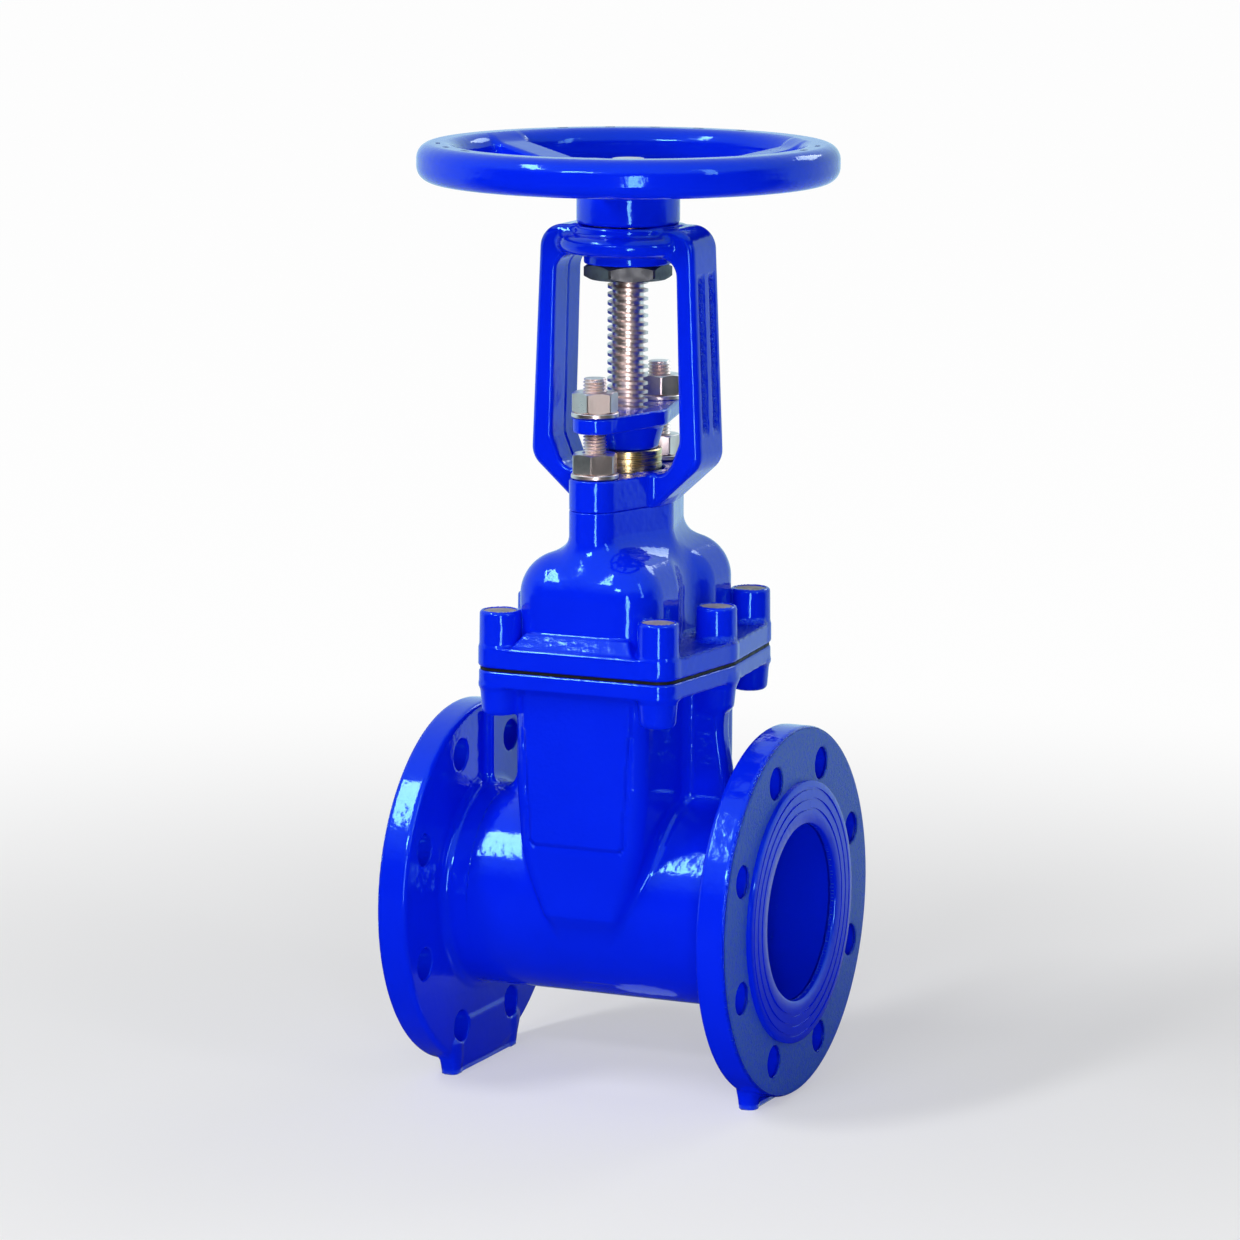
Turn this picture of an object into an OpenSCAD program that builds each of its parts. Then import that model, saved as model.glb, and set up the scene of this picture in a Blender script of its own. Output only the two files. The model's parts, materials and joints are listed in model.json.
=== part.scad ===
// Rising stem (outside screw and yoke) gate valve, DN100 with PN16 flanges.
// The pipe runs along X, the stem stands along Z, the body's panels face -Y and +Y.
// The origin is on the stem axis, on the floor under the feet. The gate is closed.

/* [Pipe ends] */
// Face to face length of the valve
face_to_face = 229; // [210:1:300]
// Bore of the waterway
bore_d = 105; // [90:1:108]
// Outside diameter of the end flanges
flange_d = 220; // [210:1:240]
// Thickness of the end flanges without the raised face
flange_t = 19; // [14:0.5:24]
// Diameter of the raised face
raised_d = 156; // [140:1:158]
// Height of the raised face
raised_h = 3; // [1:0.5:4]
// Pitch circle of the flange bolt holes
bolt_pcd = 180; // [178:1:186]
// Diameter of the flange bolt holes
bolt_hole_d = 19; // [14:0.5:22]
// Number of bolt holes in each flange
bolt_count = 8; // [4:4:8]
// Outside diameter of the pipe necks
neck_d = 121; // [118:1:130]
// Depth of the sealing grooves in the raised face
groove_h = 0.8; // [0.4:0.1:1.5]
// Height of the pipe axis over the floor
axis_h = 112; // [112:0.5:116]
// Distance from the centre line to the middle of a foot
foot_y = 41.5; // [38:0.5:46]
// Width of a foot across the pipe
foot_w = 9; // [7:0.5:12]
// Thickness of a foot along the pipe
foot_t = 9.5; // [7:0.5:14]

/* [Gate chamber] */
// Half width of the chamber along the pipe at its top
chamber_x = 42; // [39:0.5:44]
// Half depth of the chamber across the pipe
chamber_y = 71; // [69:0.5:73]
// Wall of the castings
wall = 8; // [6:0.5:9]
// Height of the body's top face over the pipe axis
body_top = 144.5; // [140:0.5:150]
// Thickness of the body's top flange
body_flange_t = 10; // [8:0.5:14]
// Thickness of the gasket between body and bonnet
gasket_t = 1.6; // [1:0.1:3]
// Thickness of the raised panel on the front and rear of the chamber
panel_t = 1.2; // [0.5:0.1:3]
// Width of the rib under each middle bolt boss
rib_w = 16; // [10:1:20]

/* [Bonnet] */
// Thickness of the bonnet flange
bonnet_flange_t = 12.5; // [10:0.5:18]
// Half spacing of the corner bolts along the pipe
bolt_x = 50.6; // [49:0.1:54]
// Half spacing of the corner bolts across the pipe
bolt_y = 68; // [67:0.5:74]
// Half spacing of the middle bolts along the pipe
mid_bolt_x = 58; // [57:0.5:60]
// Radius of the bolt bosses
boss_r = 12.5; // [11:0.5:14]
// Height of the bolt bosses over the bonnet flange
boss_h = 21; // [16:0.5:26]
// Height of the dome over the bonnet flange
dome_h = 55; // [50:0.5:60]
// Half width of the dome along the pipe
dome_x = 45; // [43:0.5:47]
// Half depth of the dome across the pipe
dome_y = 71; // [69:0.5:73]
// Height of the neck over the dome
bonnet_neck_h = 25; // [20:0.5:36]
// Radius of the hollow that the dome leaves round each middle bolt
waist_r = 24; // [20:1:28]

/* [Yoke] */
// Thickness of the yoke's base
yoke_base_t = 19; // [14:0.5:24]
// Height of the window between the arms
window_h = 127; // [120:1:150]
// Thickness of the bridge over the window
bridge_t = 17; // [14:0.5:22]
// Half width of the window
window_x = 38.5; // [36:0.5:42]
// Thickness of an arm along the pipe
arm_t = 11; // [9:0.5:14]
// Depth of the arms across the pipe
arm_w = 38; // [32:0.5:44]
// Radius of the boss that carries the stem nut
yoke_boss_r = 41.5; // [38:0.5:44]

/* [Stem] */
// Outside diameter of the trapezoidal stem thread
stem_d = 24; // [20:0.5:28]
// Pitch of the stem thread
stem_pitch = 5; // [4:0.5:6]
// Lift of the gate from closed to open
lift = 110; // [100:5:120]
// Height of the stem's tip over the top of the stem nut
tip_h = 3; // [1:0.5:20]

/* [Handwheel] */
// Outside diameter of the handwheel
wheel_d = 248; // [200:1:280]
// Height of the rim
rim_h = 22.5; // [18:0.5:30]
// Height of the rim's middle over the hub
rim_lift = 8; // [0:0.5:14]
// Width of the rim
rim_w = 25; // [18:0.5:30]
// Number of spokes
spokes = 3; // [3:1:5]
// Angle of the first spoke
spoke_turn = 40; // [0:5:120]
// Width of a spoke
spoke_w = 24; // [16:1:30]
// Thickness of a spoke
spoke_t = 10; // [6:0.5:14]
// Radius of the wheel's hub
hub_r = 30.4; // [28:0.2:34]
// Height of the wheel's hub
hub_h = 28; // [22:0.5:32]

/* [Gland] */
// Half spacing of the gland studs
stud_y = 46; // [45:0.5:50]
// Diameter of the gland studs
stud_d = 14; // [12:0.5:16]
// Width across the flats of the gland nuts
nut_af = 24; // [21:0.5:25]
// Thickness of the gland nuts
nut_t = 12; // [9:0.5:13]
// Diameter of the gland washers
washer_d = 28; // [26:0.5:29]
// Thickness of the gland washers
washer_t = 2.6; // [1.5:0.1:3]
// Height of the gland plate over the yoke's base
gland_gap = 26.5; // [24:0.5:30]
// Thickness of the gland plate
gland_t = 9.5; // [8:0.5:14]
// Radius of the gland's skirt and of the bush under it
gland_r = 20.5; // [18:0.5:22]
// Height of the bush over the yoke's base
bush_stand = 12.4; // [8:0.1:16]

/* [Hidden] */
$fn = 48;

run = 0.05;        // radial clearance of a running fit
gap = 0.3;         // gap between pieces that slide past each other
bolt_play = 0.6;   // radial clearance of a bolt in its hole

cast_blue = [0.02, 0.10, 0.75];

// places along the pipe
face_x = face_to_face / 2;
rim_x = face_x - raised_h;
back_x = rim_x - flange_t;
neck_r = neck_d / 2;
bore_r = bore_d / 2;
flange_r = flange_d / 2;
raised_r = raised_d / 2;

// heights over the floor
body_z = axis_h + body_top;
gasket_z = body_z + gasket_t;
flange_z = gasket_z + bonnet_flange_t;
boss_z = flange_z + boss_h;
dome_z = flange_z + dome_h;
neck_z = dome_z + bonnet_neck_h;
base_z = neck_z + yoke_base_t;
window_z = base_z + window_h;
bridge_z = window_z + bridge_t;

// stem nut, its seat in the yoke and the wheel on it
nut_r = 18;
nut_flange_r = 24;
nut_flange_h = 6;
ring_r = 26;
ring_h = 5.8;
cap_r = 32.4;
bead_r = 5.5;
bead_z = 6.4;
lock_af = 46;
lock_t = 8.8;
hub_z = bridge_z + 0.6;
hub_top = hub_z + hub_h;
wheel_nut_t = 6;
stem_nut_top = hub_top + wheel_nut_t + 1;
ring_z = window_z - ring_h;
lock_z = ring_z - gap - lock_t;
stem_top = stem_nut_top + tip_h;
rim_z = hub_top + rim_lift;
rim_r = wheel_d / 2 - rim_w / 2;

// joint between the bonnet's neck and the yoke
neck_mid_r = 29;
ear_r = 15;
stud_down = 20;

// arms of the yoke: outer half widths at the top and near the base, and the channels in them
arm_spread = 5;
arm_top_x = window_x + arm_t;
arm_low_x = arm_top_x + arm_spread;
arm_low_h = 12;
foot_x = neck_mid_r + 1;
foot_drop = yoke_base_t + 5;
channel_h = 2.5;
channel_ridge = 5;

// gate: round below to close the bore, straight sided above, and tapered downwards
gate_r = bore_r - gap;
gate_x = 20;
gate_taper = 3;
gate_play = 2;
gate_top = axis_h + gate_r + 10;
gate_head_z = axis_h + 36;
gate_head_h = 8;
gate_nut_h = 14;
thread_end = lock_z - lift - 4;
root_r = stem_d / 2 - stem_pitch / 2 - 0.25;
stem_r = stem_d / 2;
gate_nut_r = stem_r + 6;

// corner and middle bolts of the bonnet
bolt_at = [[-bolt_x, -bolt_y], [bolt_x, -bolt_y], [mid_bolt_x, 0],
  [bolt_x, bolt_y], [-bolt_x, bolt_y], [-mid_bolt_x, 0]];
bonnet_bolt_r = 6;
bolt_down = 22;
bolt_head_r = 9;
bolt_head_h = 12;
bolt_key_af = 10;
bolt_key_h = 6;
cap_depth = 7;
bolt_head_z = boss_z - cap_depth - bolt_head_h;
waist_out = 4;

// outline offset outwards by r, with true round corners; pts run anticlockwise
module rounded(pts, r) {
  n = len(pts);
  polygon(pts);
  for (i = [0:n - 1]) {
    p = pts[i];
    q = pts[(i + 1) % n];
    d = (q - p) / norm(q - p);
    s = [d[1], -d[0]] * r;
    polygon([p, p + s, q + s, q]);
    translate(p) circle(r);
  }
}

function box_pts(x, y) = [[-x, -y], [x, -y], [x, y], [-x, y]];

// upright block with round vertical edges and a round top edge
module dome(x, y, z0, z1, r) {
  translate([0, 0, z0]) linear_extrude(z1 - r - z0) rounded(box_pts(x - r, y - r), r);
  translate([-(x - r), -(y - r), z0]) cube([2 * (x - r), 2 * (y - r), z1 - z0]);
  for (s = [-1, 1]) {
    translate([-(x - r), s * (y - r), z1 - r]) rotate([0, 90, 0]) cylinder(h = 2 * (x - r), r = r);
    translate([s * (x - r), -(y - r), z1 - r]) rotate([-90, 0, 0]) cylinder(h = 2 * (y - r), r = r);
    for (t = [-1, 1]) translate([s * (x - r), t * (y - r), z1 - r]) sphere(r);
  }
}

module hex(af, h) { cylinder(h = h, r = af / 2 / cos(30), $fn = 6); }

// turned shape about the pipe axis, towards +X or -X
module along_pipe(side) {
  translate([0, 0, axis_h]) rotate([0, side * 90, 0]) children();
}

// end flange with its raised face, rounded rim and the fillet to the neck
module end_flange(side) {
  edge = 3;
  fillet = 6;
  along_pipe(side) rotate_extrude() difference() {
    union() {
      translate([0, back_x]) square([flange_r - edge, flange_t]);
      translate([0, back_x + edge]) square([flange_r, flange_t - 2 * edge]);
      for (y = [back_x + edge, rim_x - edge]) translate([flange_r - edge, y]) circle(edge);
      translate([0, rim_x - 1]) square([raised_r, raised_h + 1]);
      translate([0, back_x - fillet]) square([neck_r + fillet, fillet]);
    }
    translate([neck_r + fillet, back_x - fillet]) circle(fillet);
    translate([neck_r, 0]) square([flange_r, back_x - fillet]);
  }
  flange_sole(side);
  for (s = [-1, 1]) foot(side, s);
}

// block along the pipe from the back of a flange, with the outline given in Y and Z
module behind_flange(side, t) {
  translate([side > 0 ? back_x : -back_x - t, 0, 0]) rotate([90, 0, 90]) linear_extrude(t) children();
}

// cast foot at the lower edge of a flange; its flat end stands on the floor
module foot(side, s) {
  edge = 2;
  y0 = foot_y - foot_w / 2 + edge;
  y1 = foot_y + foot_w / 2 - edge;
  top = axis_h - sqrt(pow(flange_r, 2) - pow(foot_y, 2)) + 8;
  behind_flange(side, foot_t) mirror([s > 0 ? 0 : 1, 0])
    rounded([[y0, edge], [y1, edge], [y1, top], [y0 - 8, top]], edge);
}

// web between the two feet of a flange
module flange_sole(side) {
  edge = 8;
  y = foot_y - edge;
  z = axis_h - flange_r + 0.5 + edge;
  behind_flange(side, foot_t) rounded([[-y, z], [y, z], [y, z + 20], [-y, z + 20]], edge);
}

module flange_holes(side) {
  along_pipe(side) for (i = [0:bolt_count - 1])
    rotate(180 / bolt_count + i * 360 / bolt_count)
      translate([bolt_pcd / 2, 0, back_x - 20]) cylinder(h = 60, r = bolt_hole_d / 2, $fn = 32);
}

// three fine sealing grooves in the raised face
module face_grooves(side) {
  step = 6;
  along_pipe(side) for (i = [0:2]) difference() {
    translate([0, 0, face_x - groove_h]) cylinder(h = 2, r = raised_r - 4 - i * step);
    translate([0, 0, face_x - groove_h - 1]) cylinder(h = 4, r = raised_r - 5.6 - i * step);
  }
}

// level slice of the chamber: half widths x and y, height over the pipe axis, corner radius
module slice(x, y, z, r) {
  t = 0.5;
  translate([0, 0, axis_h + z - t]) linear_extrude(t) rounded(box_pts(x - r, y - r), r, $fn = 32);
}

// outside of the chamber: upright at the top, drawn in below to meet the necks
module chamber_shell() {
  hull() {
    slice(chamber_x, chamber_y, body_top - body_flange_t, 12);
    slice(chamber_x, chamber_y, neck_r + 12, 12);
    slice(chamber_x - 3, chamber_y, bore_r - 14, 12);
    slice(gate_x + wall - 2, neck_r + 5, 0, 10);
    slice(gate_x - 4, neck_r - 9, -neck_r / 2, 8);
  }
}

// inside of the chamber, open to the bonnet above and to the bore below
module chamber_space(top) {
  x = chamber_x - wall;
  y = chamber_y - wall;
  hull() {
    slice(x, y, top, 10);
    slice(x, y, neck_r + 12, 10);
    slice(gate_x + gate_play, bore_r + gap, 0.5, 3);
  }
}

// raised panel on the front or rear of the chamber
module panel(s) {
  edge = 5;
  z0 = axis_h + 42 + edge;
  z1 = axis_h + body_top - body_flange_t - 6 - edge;
  x0 = chamber_x - 13 - edge;
  x1 = chamber_x - 4 - edge;
  translate([0, s > 0 ? chamber_y + panel_t : -chamber_y + 1, 0]) rotate([90, 0, 0])
    linear_extrude(panel_t + 1) rounded([[-x0, z0], [x0, z0], [x1, z1], [-x1, z1]], edge);
}

// upright rib under a middle bolt boss, down to the neck
module boss_rib(s) {
  x = mid_bolt_x + boss_r;
  z = axis_h + neck_r;
  rotate([90, 0, 0]) linear_extrude(rib_w, center = true) mirror([s > 0 ? 0 : 1, 0])
    polygon([[chamber_x - 4, z - 12], [x, z - 12], [x - 1.5, z + 15], [x - 6, z + 42],
      [x - 3, body_z - body_flange_t], [chamber_x - 4, body_z - body_flange_t]]);
}

// thin rib up the back of a flange over the neck
module flange_rib(s) {
  w = 5;
  h = 6;
  rotate([90, 0, 0]) linear_extrude(w, center = true) mirror([s > 0 ? 0 : 1, 0])
    polygon([[back_x + 1, axis_h + neck_r - 2], [back_x - h - 8, axis_h + neck_r - 2],
      [back_x - h, axis_h + neck_r + 8], [back_x - h + 1, axis_h + flange_r - 8],
      [back_x + 1, axis_h + flange_r - 3]]);
}

// disc that fills the bore below, with straight sides above; it tapers with the seats
module gate_disc() {
  depth = 4 * gate_x;
  intersection() {
    union() {
      translate([0, 0, axis_h]) rotate([0, 90, 0]) cylinder(h = depth, r = gate_r, center = true);
      translate([-depth / 2, -gate_r, axis_h]) cube([depth, 2 * gate_r, gate_top - axis_h]);
    }
    rotate([90, 0, 0]) linear_extrude(3 * gate_r, center = true)
      polygon([[-gate_x + gate_taper, axis_h - gate_r], [gate_x - gate_taper, axis_h - gate_r],
        [gate_x, gate_top], [-gate_x, gate_top]]);
  }
}

module bonnet_outline(grow) { rounded(bolt_at, boss_r + grow, $fn = 32); }

module body() {
  lip = 1.5;
  boss_down = 27;
  color(cast_blue) difference() {
    union() {
      for (s = [-1, 1]) {
        end_flange(s);
        along_pipe(s) cylinder(h = back_x, r = neck_r);
        panel(s);
        boss_rib(s);
        flange_rib(s);
      }
      chamber_shell();
      translate([0, 0, body_z - body_flange_t]) linear_extrude(body_flange_t) bonnet_outline(0);
      translate([0, 0, body_z - body_flange_t - lip]) linear_extrude(lip + 1) bonnet_outline(-lip);
      for (p = bolt_at) translate([p[0], p[1], body_z - boss_down])
        cylinder(h = boss_down - body_flange_t + 1, r = boss_r - lip);
    }
    along_pipe(1) translate([0, 0, -face_x - 1]) cylinder(h = face_to_face + 2, r = bore_r, $fn = 96);
    chamber_space(body_top + 1);
    for (s = [-1, 1]) {
      flange_holes(s);
      face_grooves(s);
    }
    for (p = bolt_at) translate([p[0], p[1], body_z - bolt_down]) cylinder(h = 30, r = bonnet_bolt_r);
  }
}

module body_gasket() {
  color([0.04, 0.04, 0.05]) difference() {
    translate([0, 0, body_z]) linear_extrude(gasket_t) bonnet_outline(-0.8);
    chamber_space(body_top + gasket_t + 1);
    for (p = bolt_at) translate([p[0], p[1], body_z - 1])
      cylinder(h = gasket_t + 2, r = bonnet_bolt_r + bolt_play);
  }
}

// lozenge outline round the stem, r to each side, with an ear at each gland stud
module stud_plate(r, ear) {
  rounded([[0, -stud_y], [r - ear, 0], [0, stud_y], [ear - r, 0]], ear);
}

// dome with a waist beside each middle bolt; inset gives the space inside it
module bonnet_dome(z0, inset, r) {
  difference() {
    dome(dome_x - inset, dome_y - inset, z0, dome_z - inset, r);
    for (s = [-1, 1]) translate([s * (mid_bolt_x + waist_out), 0, z0 - 1])
      cylinder(h = dome_z - z0 + 2, r = waist_r + inset);
  }
}

// sloping foot of the dome between two corner bosses
module dome_foot(s) {
  rotate([90, 0, 90]) linear_extrude(2 * (bolt_x - boss_r + 1), center = true)
    mirror([s > 0 ? 0 : 1, 0])
    polygon([[dome_y - 4, flange_z - 1], [bolt_y + boss_r - 1, flange_z - 1],
      [bolt_y + boss_r - 1, flange_z], [dome_y, flange_z + 10], [dome_y - 4, flange_z + 10]]);
}

module bonnet() {
  box_depth = 24;
  color(cast_blue) difference() {
    union() {
      translate([0, 0, gasket_z]) linear_extrude(bonnet_flange_t) bonnet_outline(0);
      for (p = bolt_at) translate([p[0], p[1], gasket_z]) cylinder(h = boss_z - gasket_z, r = boss_r);
      bonnet_dome(flange_z - 3, 0, 28);
      for (s = [-1, 1]) dome_foot(s);
      translate([0, 0, flange_z]) linear_extrude(neck_z - flange_z) stud_plate(neck_mid_r, ear_r);
    }
    bonnet_dome(gasket_z - 40, wall, 20);
    // stuffing box and stem hole
    translate([0, 0, neck_z - box_depth]) cylinder(h = box_depth + 1, r = gland_r + run);
    translate([0, 0, dome_z - 2 * wall]) cylinder(h = neck_z - dome_z + 2 * wall, r = stem_r + gap);
    for (s = [-1, 1]) translate([0, s * stud_y, neck_z - stud_down])
      cylinder(h = stud_down + 1, r = stud_d / 2);
    for (p = bolt_at) translate([p[0], p[1], gasket_z - 1]) {
      cylinder(h = boss_z - gasket_z + 2, r = bonnet_bolt_r + bolt_play);
      translate([0, 0, bolt_head_z - gasket_z + 1])
        cylinder(h = boss_z - bolt_head_z + 1, r = bolt_head_r + bolt_play);
    }
  }
}

module bonnet_bolt(i) {
  z = body_z - bolt_down + 2;
  color([0.62, 0.62, 0.6]) translate([bolt_at[i][0], bolt_at[i][1], 0]) difference() {
    union() {
      translate([0, 0, z]) cylinder(h = bolt_head_z - z, r = bonnet_bolt_r);
      translate([0, 0, bolt_head_z]) cylinder(h = bolt_head_h, r = bolt_head_r);
    }
    translate([0, 0, bolt_head_z + bolt_head_h - bolt_key_h]) hex(bolt_key_af, bolt_key_h + 1);
  }
}

// wax that fills the recess over a bolt's head
module bolt_cap(i) {
  color([0.55, 0.47, 0.42]) translate([bolt_at[i][0], bolt_at[i][1], boss_z - cap_depth])
    cylinder(h = cap_depth - 0.8, r = bolt_head_r + bolt_play);
}

// outline of the yoke's frame in the X Z plane
module yoke_frame() {
  r = 14;
  rounded([[-foot_x + r, base_z - foot_drop + r], [foot_x - r, base_z - foot_drop + r],
    [arm_low_x - r, base_z + arm_low_h], [arm_top_x - r, bridge_z - r],
    [-arm_top_x + r, bridge_z - r], [-arm_low_x + r, base_z + arm_low_h]], r);
}

module yoke_window() {
  r = 11;
  low_x = window_x + arm_spread / 2;
  floor_x = low_x - 4;
  rounded([[-floor_x + r, base_z + r], [floor_x - r, base_z + r], [low_x - r, base_z + r + 10],
    [window_x - r, window_z - r], [-window_x + r, window_z - r], [-low_x + r, base_z + r + 10]], r);
}

// one of the two channels down the outer face of an arm
module arm_channel(s, t) {
  z0 = base_z + 26;
  z1 = bridge_z - 30;
  w = arm_w / 4;
  translate([0, t * (w / 2 + channel_ridge / 2), 0]) rotate([90, 0, 0])
    linear_extrude(w, center = true) mirror([s > 0 ? 0 : 1, 0])
      polygon([[arm_low_x - channel_h, z0], [arm_low_x + 5, z0],
        [arm_low_x + 5, z1], [arm_top_x - channel_h, z1]]);
}

module yoke() {
  color(cast_blue) difference() {
    union() {
      intersection() {
        rotate([90, 0, 0]) linear_extrude(arm_w, center = true) difference() {
          yoke_frame();
          yoke_window();
        }
        translate([-wheel_d / 2, -arm_w, neck_z]) cube([wheel_d, 2 * arm_w, bridge_z - neck_z + 1]);
      }
      translate([0, 0, neck_z]) linear_extrude(yoke_base_t) stud_plate(neck_mid_r, ear_r);
      // boss for the stem nut: cap, bead and lower ring
      translate([0, 0, ring_z]) cylinder(h = bridge_z - ring_z, r = ring_r);
      translate([0, 0, window_z]) cylinder(h = bridge_z - window_z, r = cap_r);
      translate([0, 0, window_z + bead_z]) rotate_extrude() {
        translate([yoke_boss_r - bead_r, 0]) circle(bead_r);
        translate([0, -bead_r]) square([yoke_boss_r - bead_r, 2 * bead_r]);
      }
    }
    for (s = [-1, 1], t = [-1, 1]) arm_channel(s, t);
    translate([0, 0, neck_z - 1]) cylinder(h = yoke_base_t + 2, r = gland_r + 2);
    for (s = [-1, 1]) translate([0, s * stud_y, neck_z - 1])
      cylinder(h = yoke_base_t + 2, r = stud_d / 2 + bolt_play);
    translate([0, 0, ring_z - 1]) cylinder(h = bridge_z - ring_z + 2, r = nut_r + run);
    translate([0, 0, bridge_z - nut_flange_h]) cylinder(h = nut_flange_h + 1, r = nut_flange_r + gap);
  }
}

// bronze nut that turns in the yoke, with two flats for the wheel
module stem_nut() {
  color([0.72, 0.55, 0.28]) difference() {
    union() {
      translate([0, 0, lock_z]) cylinder(h = stem_nut_top - lock_z, r = nut_r);
      translate([0, 0, bridge_z - nut_flange_h + 0.1]) cylinder(h = nut_flange_h, r = nut_flange_r);
    }
    translate([0, 0, lock_z - 1]) cylinder(h = stem_nut_top - lock_z + 2, r = stem_r + run);
  }
}

module yoke_lock_nut() {
  color([0.06, 0.06, 0.07]) difference() {
    translate([0, 0, lock_z]) hex(lock_af, lock_t);
    translate([0, 0, lock_z - 1]) cylinder(h = lock_t + 2, r = nut_r);
  }
}

module handwheel() {
  edge = 8;
  color(cast_blue) difference() {
    union() {
      translate([0, 0, hub_z]) cylinder(h = hub_h, r = hub_r);
      translate([0, 0, rim_z]) rotate_extrude($fn = 96) translate([rim_r, 0])
        rounded(box_pts(rim_w / 2 - edge, rim_h / 2 - edge), edge);
      for (i = [0:spokes - 1]) rotate(spoke_turn + i * 360 / spokes) spoke();
    }
    translate([0, 0, hub_z - 1]) cylinder(h = hub_h + 2, r = nut_r);
  }
}

// flat spoke from the hub up to the rim
module spoke() {
  x0 = hub_r - 3;
  z0 = hub_top + 1;
  z1 = rim_z + rim_h / 2 - 2;
  rotate([90, 0, 0]) linear_extrude(spoke_w, center = true)
    polygon([[x0, z0 - spoke_t], [rim_r, z1 - spoke_t], [rim_r, z1], [x0, z0]]);
}

module handwheel_nut() {
  color([0.06, 0.06, 0.07]) difference() {
    translate([0, 0, hub_top]) hex(lock_af, wheel_nut_t);
    translate([0, 0, hub_top - 1]) cylinder(h = wheel_nut_t + 2, r = nut_r);
  }
}

// stem: tip, left-hand thread drawn as rings, plain shank and the head that lifts the gate
module stem() {
  turns = floor((stem_top - 3 - thread_end) / stem_pitch);
  tip = 1;
  crest = stem_pitch * 0.37;
  slope = stem_pitch * 0.13;
  color([0.72, 0.68, 0.64]) union() {
    rotate_extrude() polygon(concat(
      [[0, gate_head_z], [stem_r, gate_head_z], [stem_r, thread_end], [root_r, thread_end + 1]],
      [for (i = [0:turns - 1]) let (z = thread_end + 1 + i * stem_pitch) each
        [[root_r, z + crest], [stem_r, z + crest + slope], [stem_r, z + 2 * crest + slope],
         [root_r, z + 2 * crest + 2 * slope]]],
      [[root_r, stem_top - tip], [root_r - tip, stem_top], [0, stem_top]]));
    translate([0, 0, gate_head_z]) cylinder(h = gate_head_h, r = gate_nut_r);
  }
}

// gate: rubber coated disc with guides, tapered to the seats
module gate() {
  color([0.05, 0.05, 0.055]) difference() {
    gate_disc();
    translate([0, 0, gate_head_z - gap])
      cylinder(h = gate_head_h + gate_nut_h + 2 * gap, r = gate_nut_r + gap);
    translate([0, 0, gate_head_z]) cylinder(h = gate_top - gate_head_z + 1, r = stem_r + 1);
  }
}

// bronze nut that holds the gate on the stem's head
module gate_nut() {
  color([0.72, 0.55, 0.28]) difference() {
    translate([0, 0, gate_head_z + gate_head_h]) cylinder(h = gate_nut_h, r = gate_nut_r);
    translate([0, 0, gate_head_z]) cylinder(h = gate_head_h + gate_nut_h + 1, r = stem_r);
  }
}

// bush that closes the stuffing box
module stem_bush() {
  down = 23;
  h = down + yoke_base_t + bush_stand;
  color([0.75, 0.6, 0.3]) translate([0, 0, neck_z - down]) difference() {
    cylinder(h = h, r = gland_r);
    translate([0, 0, -1]) cylinder(h = h + 2, r = stem_r + run);
  }
}

// gland plate with its skirt, drawn down on the bush by the two studs
module gland() {
  z = base_z + gland_gap;
  skirt_in = 2.5;
  skirt_out = 1.5;
  color(cast_blue) difference() {
    union() {
      translate([0, 0, z]) linear_extrude(gland_t) stud_plate(gland_r + 4.5, 13);
      rotate_extrude() polygon([[0, base_z + bush_stand], [gland_r - skirt_in, base_z + bush_stand],
        [gland_r + skirt_out, z], [gland_r + skirt_out, z + 1], [0, z + 1]]);
    }
    translate([0, 0, base_z]) cylinder(h = gland_gap + gland_t + 1, r = stem_r + run);
    for (s = [-1, 1]) translate([0, s * stud_y, z - 1])
      cylinder(h = gland_t + 2, r = stud_d / 2 + bolt_play);
  }
}

module gland_stud(s) {
  down = stud_down - 1;
  tip = 8;
  color([0.66, 0.63, 0.6]) translate([0, s * stud_y, neck_z - down])
    cylinder(h = down + yoke_base_t + gland_gap + gland_t + washer_t + nut_t + tip, r = stud_d / 2);
}

module washer(s, z) {
  color([0.66, 0.63, 0.6]) translate([0, s * stud_y, z]) difference() {
    cylinder(h = washer_t, r = washer_d / 2);
    translate([0, 0, -1]) cylinder(h = washer_t + 2, r = stud_d / 2 + bolt_play);
  }
}

module gland_nut(s, z) {
  color([0.66, 0.63, 0.6]) translate([0, s * stud_y, z + washer_t]) difference() {
    hex(nut_af, nut_t);
    translate([0, 0, -1]) cylinder(h = nut_t + 2, r = stud_d / 2);
  }
}

body();
body_gasket();
bonnet();
bonnet_bolt(0);  // bonnet_bolt_1
bonnet_bolt(1);  // bonnet_bolt_2
bonnet_bolt(2);  // bonnet_bolt_3
bonnet_bolt(3);  // bonnet_bolt_4
bonnet_bolt(4);  // bonnet_bolt_5
bonnet_bolt(5);  // bonnet_bolt_6
bolt_cap(0);  // bolt_cap_1
bolt_cap(1);  // bolt_cap_2
bolt_cap(2);  // bolt_cap_3
bolt_cap(3);  // bolt_cap_4
bolt_cap(4);  // bolt_cap_5
bolt_cap(5);  // bolt_cap_6
yoke();
stem_bush();
gland();
gland_stud(-1);  // gland_stud_front
gland_stud(1);  // gland_stud_rear
washer(-1, base_z);  // base_washer_front
washer(1, base_z);  // base_washer_rear
gland_nut(-1, base_z);  // base_nut_front
gland_nut(1, base_z);  // base_nut_rear
washer(-1, base_z + gland_gap + gland_t);  // gland_washer_front
washer(1, base_z + gland_gap + gland_t);  // gland_washer_rear
gland_nut(-1, base_z + gland_gap + gland_t);  // gland_nut_front
gland_nut(1, base_z + gland_gap + gland_t);  // gland_nut_rear
stem_nut();
yoke_lock_nut();
handwheel();
handwheel_nut();
stem();
gate();
gate_nut();
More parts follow.
